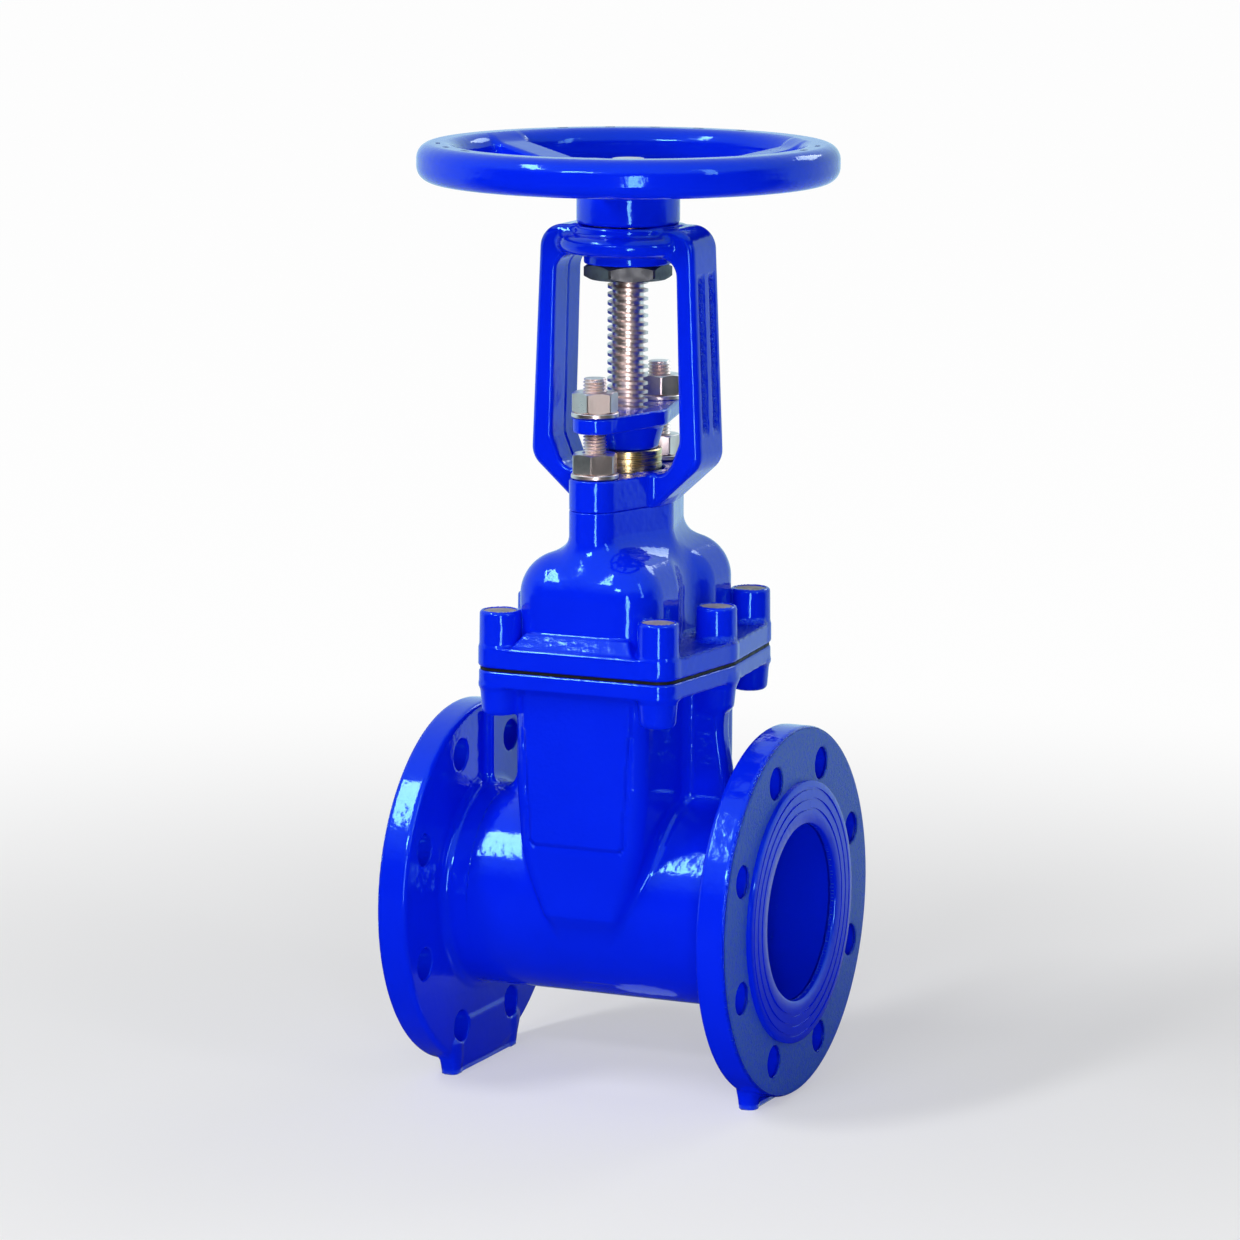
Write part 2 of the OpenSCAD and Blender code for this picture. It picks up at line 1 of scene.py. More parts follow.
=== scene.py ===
import json
import math
import bpy
import numpy as np
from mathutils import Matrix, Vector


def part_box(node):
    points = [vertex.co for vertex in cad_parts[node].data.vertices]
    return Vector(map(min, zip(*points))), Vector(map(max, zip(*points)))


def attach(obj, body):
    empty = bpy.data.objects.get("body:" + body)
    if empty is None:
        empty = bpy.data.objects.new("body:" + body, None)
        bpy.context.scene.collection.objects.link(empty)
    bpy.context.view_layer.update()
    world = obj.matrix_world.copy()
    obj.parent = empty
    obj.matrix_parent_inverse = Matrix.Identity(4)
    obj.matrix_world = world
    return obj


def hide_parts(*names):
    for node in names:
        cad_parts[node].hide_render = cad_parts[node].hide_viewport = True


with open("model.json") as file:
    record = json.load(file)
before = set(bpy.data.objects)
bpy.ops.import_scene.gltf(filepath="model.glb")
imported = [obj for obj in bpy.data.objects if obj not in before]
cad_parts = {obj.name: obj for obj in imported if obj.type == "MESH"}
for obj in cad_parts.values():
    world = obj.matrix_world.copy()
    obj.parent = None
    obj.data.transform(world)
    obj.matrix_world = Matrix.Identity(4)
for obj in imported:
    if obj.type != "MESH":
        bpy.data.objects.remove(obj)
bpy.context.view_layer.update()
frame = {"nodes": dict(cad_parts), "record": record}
import openvdb
from mathutils import Matrix, Vector

nodes = frame["nodes"]

# STUDIO
# A plain pale floor and background, soft lamps from above, and a dark room round the front that
# only reflections see, so that the gloss paint keeps its deep colour.
axis_z = frame["record"]["mounts"][0]["pos_m"][2]  # the pipe's axis over the floor
scene = bpy.context.scene
scene.view_settings.view_transform = "Standard"

turn, dip, roll = 0.42403, 0.1717, 0.0036
look = Vector((-math.sin(turn) * math.cos(dip), math.cos(turn) * math.cos(dip), -math.sin(dip)))
side = Vector((math.cos(turn), math.sin(turn), 0))
up = side.cross(look)
right = math.cos(roll) * side + math.sin(roll) * up
above = -math.sin(roll) * side + math.cos(roll) * up
camera_data = bpy.data.cameras.new("camera")
camera_data.lens = 36 * 5474.369 / 1240
camera_data.sensor_width = 36
camera_data.clip_end = 50
camera = bpy.data.objects.new("camera", camera_data)
camera.matrix_world = Matrix((
    (right.x, above.x, -look.x, 1.312454),
    (right.y, above.y, -look.y, -2.917052),
    (right.z, above.z, -look.z, 0.72091 + axis_z),
    (0, 0, 0, 1)))
scene.collection.objects.link(camera)
scene.camera = camera


def aim(thing, place, target):
    """puts a thing at a place with its -Z axis towards a target"""
    thing.location = place
    thing.rotation_euler = (Vector(target) - Vector(place)).to_track_quat("-Z", "Y").to_euler()


def softbox(name, place, size, power, spin=0):
    """square lamp that faces the valve and stays out of the picture"""
    lamp = bpy.data.lights.new(name, "AREA")
    lamp.shape = "RECTANGLE"
    lamp.size, lamp.size_y = size
    lamp.energy = power
    box = bpy.data.objects.new(name, lamp)
    scene.collection.objects.link(box)
    aim(box, place, (0, 0, 0.3))
    box.rotation_euler.rotate_axis("Z", math.radians(spin))
    box.visible_camera = False


softbox("lamp_top_left", (-1.37, -1.62, 2.53), (1.5, 0.34), 38, -52)
softbox("lamp_right", (2.4, -0.9, 1.5), (0.3, 1.6), 8)
softbox("lamp_front", (-0.2, -3.0, 1.9), (0.9, 0.3), 26)
softbox("lamp_low", (0.57, -1.12, 0.3), (0.16, 0.56), 4.2)
softbox("lamp_rear", (0.9, 2.8, 2.2), (1.2, 0.8), 14)


class Wire:
    """an output of a shader node that takes part in sums; Wire.tree is the node tree in hand"""
    tree = None

    def __init__(self, socket):
        self.socket = socket

    @classmethod
    def node(cls, kind, settings=(), inputs=(), out=0):
        made = cls.tree.nodes.new(kind)
        for name, value in dict(settings).items():
            setattr(made, name, value)
        for name, value in dict(inputs).items():
            if isinstance(value, Wire):
                cls.tree.links.new(value.socket, made.inputs[name])
            else:
                made.inputs[name].default_value = value
        return cls(made.outputs[out])

    @classmethod
    def maths(cls, operation, *values):
        return cls.node("ShaderNodeMath", {"operation": operation}, enumerate(values))

    def __add__(self, other): return Wire.maths("ADD", self, other)
    def __radd__(self, other): return Wire.maths("ADD", other, self)
    def __sub__(self, other): return Wire.maths("SUBTRACT", self, other)
    def __rsub__(self, other): return Wire.maths("SUBTRACT", other, self)
    def __mul__(self, other): return Wire.maths("MULTIPLY", self, other)
    def __rmul__(self, other): return Wire.maths("MULTIPLY", other, self)
    def __truediv__(self, other): return Wire.maths("DIVIDE", self, other)
    def __rtruediv__(self, other): return Wire.maths("DIVIDE", other, self)

    def fit(self, low, high, to_low=0.0, to_high=1.0):
        """maps low to high smoothly onto another range, and holds it at the ends"""
        return Wire.node("ShaderNodeMapRange", {"interpolation_type": "SMOOTHSTEP"},
                         {0: self, 1: low, 2: high, 3: to_low, 4: to_high})


def mix(share, first, second):
    """colour between two colours"""
    return Wire.node("ShaderNodeMix", {"data_type": "RGBA"}, {0: share, 6: first, 7: second}, 2)


world = bpy.data.worlds.new("studio")
scene.world = world
world.use_nodes = True
Wire.tree = world.node_tree
rays = [Wire.node("ShaderNodeLightPath", out=name)
        for name in ("Is Camera Ray", "Is Glossy Ray", "Is Transmission Ray")]
seen = Wire.maths("MINIMUM", rays[0] + rays[1] + rays[2], 1.0)
sky = world.node_tree.nodes["Background"]
white, cool = (1, 1, 1, 1), (0.6, 0.89, 0.98, 1)
air = mix(rays[1], mix(seen, (0.80, 0.83, 0.88, 1), white), cool)
world.node_tree.links.new(air.socket, sky.inputs[0])
world.node_tree.links.new(seen.fit(0.0, 1.0, 0.20, 1.0).socket, sky.inputs[1])


def sheet(name, corners):
    """flat four-cornered surface"""
    data = bpy.data.meshes.new(name)
    data.from_pydata(corners, [], [(0, 1, 2, 3)])
    made = bpy.data.objects.new(name, data)
    scene.collection.objects.link(made)
    return made


def new_material(name, rough=0.5, metal=0.0, colour=(0.8, 0.8, 0.8, 1)):
    """material with its own Principled shader; returns the material and the shader"""
    made = bpy.data.materials.new(name)
    made.use_nodes = True
    Wire.tree = made.node_tree
    shader = made.node_tree.nodes["Principled BSDF"]
    shader.inputs["Base Color"].default_value = colour
    shader.inputs["Roughness"].default_value = rough
    shader.inputs["Metallic"].default_value = metal
    return made, shader


def wire_to(wire, shader, name):
    Wire.tree.links.new(wire.socket, shader.inputs[name])


floor = sheet("floor", [(-30, -30, 0), (30, -30, 0), (30, 30, 0), (-30, 30, 0)])
paper, paper_shader = new_material("white_paper", 0.8)
paper_shader.inputs["Specular IOR Level"].default_value = 0.0
glow = Wire.node("ShaderNodeLightPath", out="Is Camera Ray")
glow_glossy = Wire.node("ShaderNodeLightPath", out="Is Glossy Ray")
far = Wire.node("ShaderNodeVectorMath", {"operation": "LENGTH"},
                {0: Wire.node("ShaderNodeNewGeometry", out="Position")}, "Value")
lit = Wire.maths("MINIMUM", glow + glow_glossy, 1.0)
paper_shader.inputs["Base Color"].default_value = (0.86, 0.86, 0.86, 1)
shine = Wire.node("ShaderNodeEmission", (), {0: mix(glow_glossy, white, cool), 1: lit})
share = far.fit(0.25, 1.3, 0.42, 0.98)
blend = Wire.node("ShaderNodeMixShader", (),
                  {0: share * lit, 1: Wire(paper_shader.outputs[0]), 2: shine})
paper.node_tree.links.new(blend.socket, paper.node_tree.nodes["Material Output"].inputs[0])
floor.data.materials.append(paper)

room_points, room_faces = [], []
around = 48
rings = [(0.02, 0.003), (0.25, 0.003), (0.7, 0.003), (1.6, 0.003), (4.4, 0.003), (4.4, 1.2), (4.2, 2.4),
         (3.4, 3.6)]
for i in range(around):
    a = 2 * math.pi * i / around
    room_points += [(r * math.cos(a), r * math.sin(a), z) for r, z in rings]
n = len(rings)
for i in range(around):
    j = (i + 1) % around
    room_faces += [(i * n + k, i * n + k + 1, j * n + k + 1, j * n + k) for k in range(n - 1)]
room_data = bpy.data.meshes.new("dark_room")
room_data.from_pydata(room_points, [], room_faces)
room = bpy.data.objects.new("dark_room", room_data)
scene.collection.objects.link(room)
cloth, cloth_shader = new_material("dark_cloth", 1.0, 0.0, (0.01, 0.012, 0.02, 1))
cloth_shader.inputs["Specular IOR Level"].default_value = 0.0
here = Wire.node("ShaderNodeTexCoord", out="Object")
ahead = Wire.node("ShaderNodeVectorMath", {"operation": "DOT_PRODUCT"},
                  {0: here, 1: (math.sin(turn), -math.cos(turn), 0)}, "Value")
high = Wire.node("ShaderNodeSeparateXYZ", (), {0: here}, "Z")
wall_share = ahead.fit(-0.9, 1.6) * high.fit(1.1, 2.9, 1.0, 0.0)
floor_share = ahead.fit(-0.5, 0.1)
is_wall = high.fit(0.004, 0.2)
shade = floor_share + (wall_share - floor_share) * is_wall
clear = Wire.node("ShaderNodeBsdfTransparent")
veil = Wire.node("ShaderNodeMixShader", (), {0: shade, 1: clear, 2: Wire(cloth_shader.outputs[0])})
cloth.node_tree.links.new(veil.socket, cloth.node_tree.nodes["Material Output"].inputs[0])
room.data.materials.append(cloth)
room.visible_camera = False
room.visible_diffuse = False
room.visible_shadow = False


# BODY
# One ductile iron casting: gate chamber with a panel front and rear, two necks, the bolted top
# flange with its bosses and ribs. Coated all over with blue epoxy. The end flanges come next.
def join(a, b, r):
    """either of two shapes, with a fillet of radius r where they meet"""
    return np.maximum(r, np.minimum(a, b)) - np.hypot(np.maximum(r - a, 0), np.maximum(r - b, 0))


def both(a, b, r):
    """what two shapes share, with an edge rounded by r"""
    return np.minimum(-r, np.maximum(a, b)) + np.hypot(np.maximum(r + a, 0), np.maximum(r + b, 0))


def block(u, v, half_u, half_v, r):
    """rectangle with round corners, from distances u and v to its middle"""
    a, b = u - half_u + r, v - half_v + r
    return np.hypot(np.maximum(a, 0), np.maximum(b, 0)) + np.minimum(np.maximum(a, b), 0) - r


def eased(z, heights, widths, reach):
    """width at height z along a polyline, with its corners eased over a reach"""
    return sum(np.interp(z + k * reach / 2, heights, widths) for k in (-2, -1, 0, 1, 2)) / 5


def field_mesh(name, field, low, high, step, cut=None, rough=None):
    """mesh of the surface where a distance field is zero. Fields are in millimetres, negative
    inside. cut is a plain field that closes the ends; rough marks the as-cast faces."""
    axes = [np.arange(a, b + step, step) for a, b in zip(low, high)]
    x, y, z = np.meshgrid(*axes, indexing="ij", sparse=True)
    values = field(x, y, z)
    if cut:
        values = np.maximum(values, cut(x, y, z))
    values = np.ascontiguousarray(np.broadcast_to(values, [len(a) for a in axes]), np.float32)
    grid = openvdb.FloatGrid(10.0)
    grid.copyFromArray(values)
    points, _, quads = grid.convertToPolygons(isovalue=0.0, adaptivity=0.0)
    p = points.astype(float) * step + np.array(low)

    def slope(q):
        e = 0.15
        g = np.stack([field(*(q + d).T) - field(*(q - d).T) for d in np.eye(3) * e], 1) / (2 * e)
        return g

    for k in range(3):
        f, g = field(*p.T), slope(p)
        near = np.abs(f) < 1.5 * step
        move = f[:, None] * g / np.maximum((g * g).sum(1), 0.05)[:, None]
        move *= np.minimum(1, 0.6 * step / np.maximum(np.linalg.norm(move, axis=1), 1e-9))[:, None]
        p -= move * near[:, None]
        if cut:
            over = np.maximum(cut(*p.T), 0)
            p[:, 0] -= np.sign(p[:, 0]) * over
    normals = slope(p)
    if cut:
        end = np.abs(field(*p.T)) > 0.1
        normals[end] = np.stack([np.sign(p[end, 0]), 0 * p[end, 0], 0 * p[end, 0]], 1)
    normals /= np.maximum(np.linalg.norm(normals, axis=1), 1e-9)[:, None]
    faces = np.array(quads)
    a, b, c = p[faces[:, 0]], p[faces[:, 1]], p[faces[:, 3]]
    if (np.einsum("ij,ij->i", np.cross(b - a, c - a), a)).sum() < 0:
        faces = faces[:, ::-1]
    data = bpy.data.meshes.new(name)
    data.vertices.add(len(p))
    data.vertices.foreach_set("co", (p / 1000).ravel())
    data.loops.add(faces.size)
    data.loops.foreach_set("vertex_index", np.ascontiguousarray(faces).ravel())
    data.polygons.add(len(faces))
    data.polygons.foreach_set("loop_start", np.arange(0, faces.size, 4))
    data.update(calc_edges=True)
    data.validate()
    data.shade_smooth()
    data.normals_split_custom_set_from_vertices(normals)
    if rough:
        mark = data.attributes.new("rough", "FLOAT", "POINT")
        mark.data.foreach_set("value", np.clip(rough(*p.T), 0, 1) + 0 * p[:, 0])
    made = bpy.data.objects.new(name, data)
    scene.collection.objects.link(made)
    print(name, len(p), "points", len(faces), "faces")
    return made


def top_of(node):
    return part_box(node)[1].z * 1000


def foot_of(node):
    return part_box(node)[0].z * 1000


axis = axis_z * 1000
body_top = top_of("body")
neck_r, bore_r = 60.5, 52.5
corner, middle, boss_r = (50.6, 68.0), (58.0, 0.0), 12.5


def bolted_outline(ax, ay):
    """six-sided outline round the bonnet bolts, from distances to the two centre lines"""
    found, inside = 1e9, -1e9
    for p, q in ((middle, corner), (corner, (0.0, corner[1]))):
        dx, dy = q[0] - p[0], q[1] - p[1]
        length = math.hypot(dx, dy)
        t = np.clip(((ax - p[0]) * dx + (ay - p[1]) * dy) / length ** 2, 0, 1)
        found = np.minimum(found, np.hypot(ax - p[0] - t * dx, ay - p[1] - t * dy))
        inside = np.maximum(inside, ((ax - p[0]) * dy - (ay - p[1]) * dx) / length)
    return np.where(inside < 0, inside, found) - boss_r


def bolt_distance(ax, ay):
    return np.minimum(np.hypot(ax - corner[0], ay - corner[1]),
                      np.hypot(ax - middle[0], ay - middle[1]))


def panel_distance(ax, z):
    """distance to the outline of the panels front and rear; z from the pipe's axis"""
    return block(ax, np.abs(z - 87), np.interp(z, [40, 114], [30, 34.5]), 46.5, 5)


def body_field(x, y, z):
    z = z - axis
    top = body_top - axis
    ax, ay = np.abs(x), np.abs(y)
    pipe = np.hypot(y, z)
    width = eased(z, [-60, -30, -22, -1, 20, 37, 73, 150], [12, 16, 19, 25, 34, 38.5, 42, 42], 6)
    depth = eased(z, [-60, -22, -1.5, 38, 150], [30, 54, 67, 71, 71.5], 0.8)
    chamber = block(ax, ay, width, depth, np.interp(z, [0, 60], [7, 11]))
    panel = panel_distance(ax, z)
    line = np.clip(1 - np.abs(panel + 0.3) / 1.5, 0, 1)
    chamber = chamber - (0.8 * np.clip(0.5 - panel / 1.4, 0, 1) - 1.3 * line * (z < 110)) * (ay > 50)
    chamber = np.maximum(chamber, -z - 45)
    shape = join(pipe - neck_r, chamber, np.interp(z, [-10, 40], [2.5, 8]))
    edge = eased(z, [58, 75, 101, 108, 133], [72, 68.9, 64.6, 64, 67.7], 6)
    rib = both(both(ay - 8, ax - edge, 5), np.abs(z - 95) - 42, 2)
    shape = join(shape, rib, 7)
    plate = both(bolted_outline(ax, ay), np.abs(z - top + 5) - 5, 1.4)
    bolt = bolt_distance(ax, ay)
    boss = both(bolt - 10.6 - np.maximum(z - 118, 0) * 0.08, np.abs(z - 127) - 9.5, 3)
    shape = join(join(shape, plate, 6), boss, 3)
    shape = both(shape, z - top, 0.3)
    space = block(ax, ay, np.interp(z, [0, 72.5], [22, 34]), np.interp(z, [0, 72.5], [52.8, 63]), 9)
    space = np.minimum(pipe - bore_r, np.maximum(space, 0.5 - z))
    holes = np.maximum(bolt - 6, top - 22 - z)
    return np.maximum(np.maximum(shape, -space), -holes)


def panel_grain(x, y, z):
    """the panels front and rear keep a faint cast grain under the paint"""
    return 0.08 * np.clip(-panel_distance(np.abs(x), z - axis) / 3, 0, 1) * (np.abs(y) > 60)


seam = 76.5
body = field_mesh("valve_body", body_field, (-80, -86, -66 + axis), (80, 86, body_top + 3), 1.65,
                  cut=lambda x, y, z: np.abs(x) - seam + 0 * y + 0 * z, rough=panel_grain)


# END FLANGES
# Cast in one with the necks: eight bolt holes, a raised face turned with three sealing grooves,
# a thin rib up the back and two small feet. The faces keep the grain of the sand under the paint,
# and their blue is greyed there with a painted sheen.
face_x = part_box("body")[1].x * 1000
rim_x = face_x - 3
back_x = rim_x - 19
flange_r, hole_ring, hole_r = 110, 90.0, 9.5


def end_field(x, y, z):
    z = z - axis
    ax, ay, az = np.abs(x), np.abs(y), np.abs(z)
    pipe = np.hypot(y, z)
    slab = np.abs(ax - (back_x + rim_x) / 2) - (rim_x - back_x) / 2
    disc = both(pipe - flange_r, slab, 3)
    lug = np.abs(ax - back_x - 4.75) - 4.75
    web = both(block(ay, z + 94.5, 41.5, 15, 8), lug, 3)
    taper = np.interp(z, [-111, -102], [1.7, 0])
    foot = both(block(np.abs(ay - 41.5 + taper), z + 102, 4.5 - taper, 10, 2.2), lug + taper, 2)
    disc = join(disc, join(web, foot, 6), 3)
    rib = both(both(ay - 1.8, np.abs(ax - back_x) - 5.5, 1.5), np.abs(z - 80) - 24, 3)
    disc = join(disc, rib, 3)
    shape = join(np.maximum(pipe - neck_r, ax - rim_x), disc, 6)
    a = math.pi / 8
    near, far_off = hole_ring * math.sin(a), hole_ring * math.cos(a)
    hole = np.minimum(np.hypot(ay - far_off, az - near), np.hypot(ay - near, az - far_off)) - hole_r
    shape = both(shape, -hole, 1.0)
    shape = np.maximum(shape, -axis - z)
    return np.maximum(shape, bore_r - pipe)


def grain(x, y, z):
    """1 on the outer faces of the flanges, which are dull; 0 on the rest. Pitted faces have 0.5"""
    return (np.abs(x) - rim_x + 1.5) / 1.2


ends = []
for name, low, high in (("left_end_flange", -rim_x - 3, -seam + 3),
                        ("right_end_flange", seam - 3, rim_x + 3)):
    ends.append(field_mesh(name, end_field, (low, -114, -2.2), (high, 114, 225), 1.45,
                           cut=lambda x, y, z: seam - np.abs(x) + 0 * y + 0 * z, rough=grain))


def lathe(name, profile, segments, axis_letter="z", sharp=40):
    """turned shape from (radius, place along the axis) pairs in millimetres, closed end to start"""
    profile = np.array(profile, float) / 1000
    a = np.arange(segments) * 2 * math.pi / segments
    c, s = np.cos(a)[:, None], np.sin(a)[:, None]
    r, t = profile[:, 0][None], profile[:, 1][None]
    p = np.stack([r * c, r * s, t + 0 * c], -1)
    if axis_letter == "x":
        p = p[..., [2, 0, 1]] + np.array([0, 0, axis_z])
    n = len(profile)
    faces = []
    for i in range(segments):
        j = (i + 1) % segments
        for k in range(n):
            m = (k + 1) % n
            faces.append((i * n + k, i * n + m, j * n + m, j * n + k))
    data = bpy.data.meshes.new(name)
    data.from_pydata(p.reshape(-1, 3).tolist(), [], faces)
    data.validate()
    data.update()
    made = bpy.data.objects.new(name, data)
    scene.collection.objects.link(made)
    outward(made)
    data.shade_smooth()
    data.set_sharp_from_angle(angle=math.radians(sharp))
    return made


def outward(made):
    """turns the faces so that they look out of the shape"""
    data = made.data
    middle_point = sum((v.co for v in data.vertices), Vector()) / len(data.vertices)
    total = 0.0
    for f in data.polygons:
        total += (Vector(f.center) - middle_point).dot(f.normal) * f.area
    if total < 0:
        data.flip_normals()


def raised_face(name, side_sign):
    line = [(bore_r, rim_x - 0.5), (bore_r, face_x - 1.4), (bore_r + 0.4, face_x - 0.5),
            (bore_r + 1.4, face_x)]
    for outer in (62.0, 68.0, 74.0):
        line += [(outer - 1.6, face_x), (outer - 1.5, face_x - 0.8), (outer - 0.1, face_x - 0.8),
                 (outer, face_x)]
    line += [(77.2, face_x), (77.8, face_x - 0.3), (78, face_x - 0.9), (78, rim_x - 0.5)]
    return lathe(name, [(r, x * side_sign) for r, x in line], 160, "x", 30)


ends.append(raised_face("left_raised_face", -1))
ends.append(raised_face("right_raised_face", 1))


def noise(place, scale, detail, roughness=0.5):
    """cloudy pattern, from 0 to 1"""
    return Wire.node("ShaderNodeTexNoise", (), {
        "Vector": place, "Scale": scale, "Detail": detail, "Roughness": roughness})


def bumps(height):
    """surface relief from a height in metres"""
    return Wire.node("ShaderNodeBump", (), {"Distance": 1.0, "Height": height})


epoxy, epoxy_shader = new_material("blue_epoxy_paint", 0.12, 0.0, (0.001, 0.018, 0.88, 1))
epoxy_shader.inputs["Specular Tint"].default_value = (0.30, 0.85, 1.0, 1)
place = Wire.node("ShaderNodeTexCoord", out="Object")
grit = Wire.node("ShaderNodeAttribute", {"attribute_name": "rough"}, out="Fac")
peel = noise(place, 220.0, 2.0, 0.4)
sand = noise(place, 650.0, 4.0, 0.65)
lumps = noise(place, 35.0, 3.0, 0.5)
pits = noise(place, 420.0, 3.0, 0.6)
dull, pitted = grit.fit(0.55, 1.0), grit.fit(0.0, 0.5)
relief = peel * 0.00014 + lumps * 0.00030 + sand * dull * 0.0006 + pits * pitted * (1.0 - dull) * 0.0026
bump = bumps(relief)
wire_to(bump, epoxy_shader, "Normal")
wire_to((lumps * 0.06 + 0.06) + dull * 0.30, epoxy_shader, "Roughness")
tone = (lumps - 0.5) * 0.5 + 0.5
blue = mix(tone, (0.0006, 0.013, 0.72, 1), (0.0012, 0.020, 0.90, 1))
# On the dull flange faces the blue turns grey-blue in a speckle: the speckle follows the sand grain,
# and the grey-blue is a painted sheen.
grain_and_painted_sheen = dull * sand.fit(0.3, 0.65, 0.25, 0.8)
wire_to(mix(grain_and_painted_sheen, blue, (0.05, 0.14, 0.42, 1)), epoxy_shader, "Base Color")

for piece in [body] + ends:
    piece.data.materials.append(epoxy)
    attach(piece, "valve")
    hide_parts("body")


# BODY GASKET
# Black rubber sheet clamped between the body and the bonnet; only its edge shows.
rubber, rubber_shader = new_material("black_rubber", 0.6, 0.0, (0.006, 0.006, 0.009, 1))
rubber_shader.inputs["Specular IOR Level"].default_value = 0.25
place = Wire.node("ShaderNodeTexCoord", out="Object")
dust = noise(place, 400.0, 4.0)
wire_to(dust.fit(0.3, 0.8, 0.45, 0.75), rubber_shader, "Roughness")
wire_to(bumps(dust * 0.00005), rubber_shader, "Normal")


def dress(node, finish):
    """gives a piece of the CAD model a finish"""
    nodes[node].data.materials.clear()
    nodes[node].data.materials.append(finish)


dress("body_gasket", rubber)


# BONNET
# Cast cover over the chamber: flange with six tall bolt bosses, a dome drawn in beside the
# middle bosses, and a lozenge neck that carries the yoke. Coated like the body.
bonnet_foot, bonnet_top = foot_of("bonnet"), top_of("bonnet")
boss_top = top_of("bolt_cap_1") + 0.8
stud_y, neck_reach, neck_ear = 46, 29, 15


def polygon(u, v, points):
    """signed distance to a convex polygon whose corners run anticlockwise"""
    found, inside = 1e9, -1e9
    for i, p in enumerate(points):
        q = points[(i + 1) % len(points)]
        dx, dy = q[0] - p[0], q[1] - p[1]
        length = math.hypot(dx, dy)
        t = np.clip(((u - p[0]) * dx + (v - p[1]) * dy) / length ** 2, 0, 1)
        found = np.minimum(found, np.hypot(u - p[0] - t * dx, v - p[1] - t * dy))
        inside = np.maximum(inside, ((u - p[0]) * dy - (v - p[1]) * dx) / length)
    return np.where(inside < 0, inside, found)


def stud_outline(x, ay, reach, ear):
    """lozenge that reaches to each side of the stem and ends in an ear round each stud"""
    return polygon(x, ay, [(0, -stud_y), (reach - ear, 0), (0, stud_y), (ear - reach, 0)]) - ear


def bonnet_field(x, y, z):
    ax, ay = np.abs(x), np.abs(y)
    flange = bonnet_foot + 12.5
    dome_top = flange + 55
    plate = both(bolted_outline(ax, ay), np.abs(z - bonnet_foot - 6.25) - 6.25, 1.4)
    waist = np.hypot(ax - 62, ay)
    dome = both(block(ax, ay, 45, 71, 24), z - dome_top, 26)
    dome = both(dome, 24 - waist, 9)
    dome = np.maximum(dome, bonnet_foot + 2 - z)
    neck = np.maximum(stud_outline(x, ay, neck_reach, neck_ear), bonnet_foot + 2 - z)
    shape = join(dome, neck, 11)
    slope = ((ay - 79.4) * 9 + (z - flange) * 8) / 12.04
    slope = both(slope, ax - 39 + (z - flange) * 0.7, 0.8)
    slope = both(slope, np.abs(z - flange - 3.5) - 5.2, 0.8)
    shape = join(shape, plate, 1.5)
    shape = join(shape, slope, 1.2)
    bolt = bolt_distance(ax, ay)
    boss = both(bolt - 12.3 + (z - flange) * 0.012, z - boss_top, 2.2)
    boss = np.maximum(boss, bonnet_foot + 2 - z)
    shape = join(shape, boss, 1.6)
    shape = both(shape, -(np.maximum(bolt - 9.6, boss_top - 19 - z)), 0.6)
    shape = both(shape, z - bonnet_top, 0.9)
    inner = both(block(ax, ay, 37, 63, 18), z - dome_top + 8, 18)
    inner = both(inner, 32 - waist, 4)
    stem_hole = np.hypot(x, y)
    inner = np.minimum(inner, stem_hole - 12.3)
    inner = np.minimum(inner, np.maximum(stem_hole - 20.55, bonnet_top - 24 - z))
    inner = np.minimum(inner, np.maximum(np.hypot(x, ay - stud_y) - 7, bonnet_top - 20 - z))
    inner = np.minimum(inner, bolt - 6.6)
    shape = np.maximum(shape, -inner)
    return both(shape, bonnet_foot - z, 0.3)


def between_bosses(x, y, z):
    """the flange between the side bosses and the lower dome keep their cast grain"""
    low, high = (bonnet_foot + 17 - z) / 4, (z - bonnet_foot - 11.5) / 0.8
    return 0.5 * np.clip(low, 0, 1) * np.clip(high, 0, 1) * np.clip((66 - np.abs(y)) / 3, 0, 1)


bonnet = field_mesh("bonnet", bonnet_field, (-73, -83, bonnet_foot - 2.3), (73, 83, bonnet_top + 2),
                    1.35, rough=between_bosses)
bonnet.data.materials.append(epoxy)
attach(bonnet, "valve")
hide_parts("bonnet")


# BONNET BOLTS AND THEIR WAX
# Six zinc plated socket head bolts sunk in the bosses, each sealed with poured wax that has
# set slightly hollow and stands uneven against the wall of its recess.
zinc, zinc_shader = new_material("zinc_plate", 0.32, 1.0, (0.72, 0.72, 0.70, 1))
place = Wire.node("ShaderNodeTexCoord", out="Object")
spangle = noise(place, 240.0, 3.0)
wire_to(mix(spangle.fit(0.3, 0.7), (0.62, 0.63, 0.62, 1), (0.78, 0.77, 0.72, 1)),
        zinc_shader, "Base Color")
wire_to(spangle.fit(0.3, 0.7, 0.26, 0.42), zinc_shader, "Roughness")
for i in range(1, 7):
    dress(f"bonnet_bolt_{i}", zinc)

wax, wax_shader = new_material("sealing_wax", 0.55, 0.0, (0.40, 0.34, 0.31, 1))
place = Wire.node("ShaderNodeTexCoord", out="Object")
cloud = noise(place, 90.0, 5.0, 0.6)
specks = noise(place, 700.0, 3.0)
wire_to(mix(cloud.fit(0.35, 0.7), (0.30, 0.25, 0.23, 1), (0.56, 0.49, 0.45, 1)),
        wax_shader, "Base Color")
wire_to(cloud.fit(0.3, 0.7, 0.35, 0.7), wax_shader, "Roughness")
wire_to(bumps(cloud * 0.0009 + specks * 0.0001),
        wax_shader, "Normal")


def shapes(name):
    """empty Geometry Nodes tree with its output, ready for nodes"""
    tree = bpy.data.node_groups.new(name, "GeometryNodeTree")
    tree.interface.new_socket("Shape", in_out="OUTPUT", socket_type="NodeSocketGeometry")
    Wire.tree = tree
    return tree


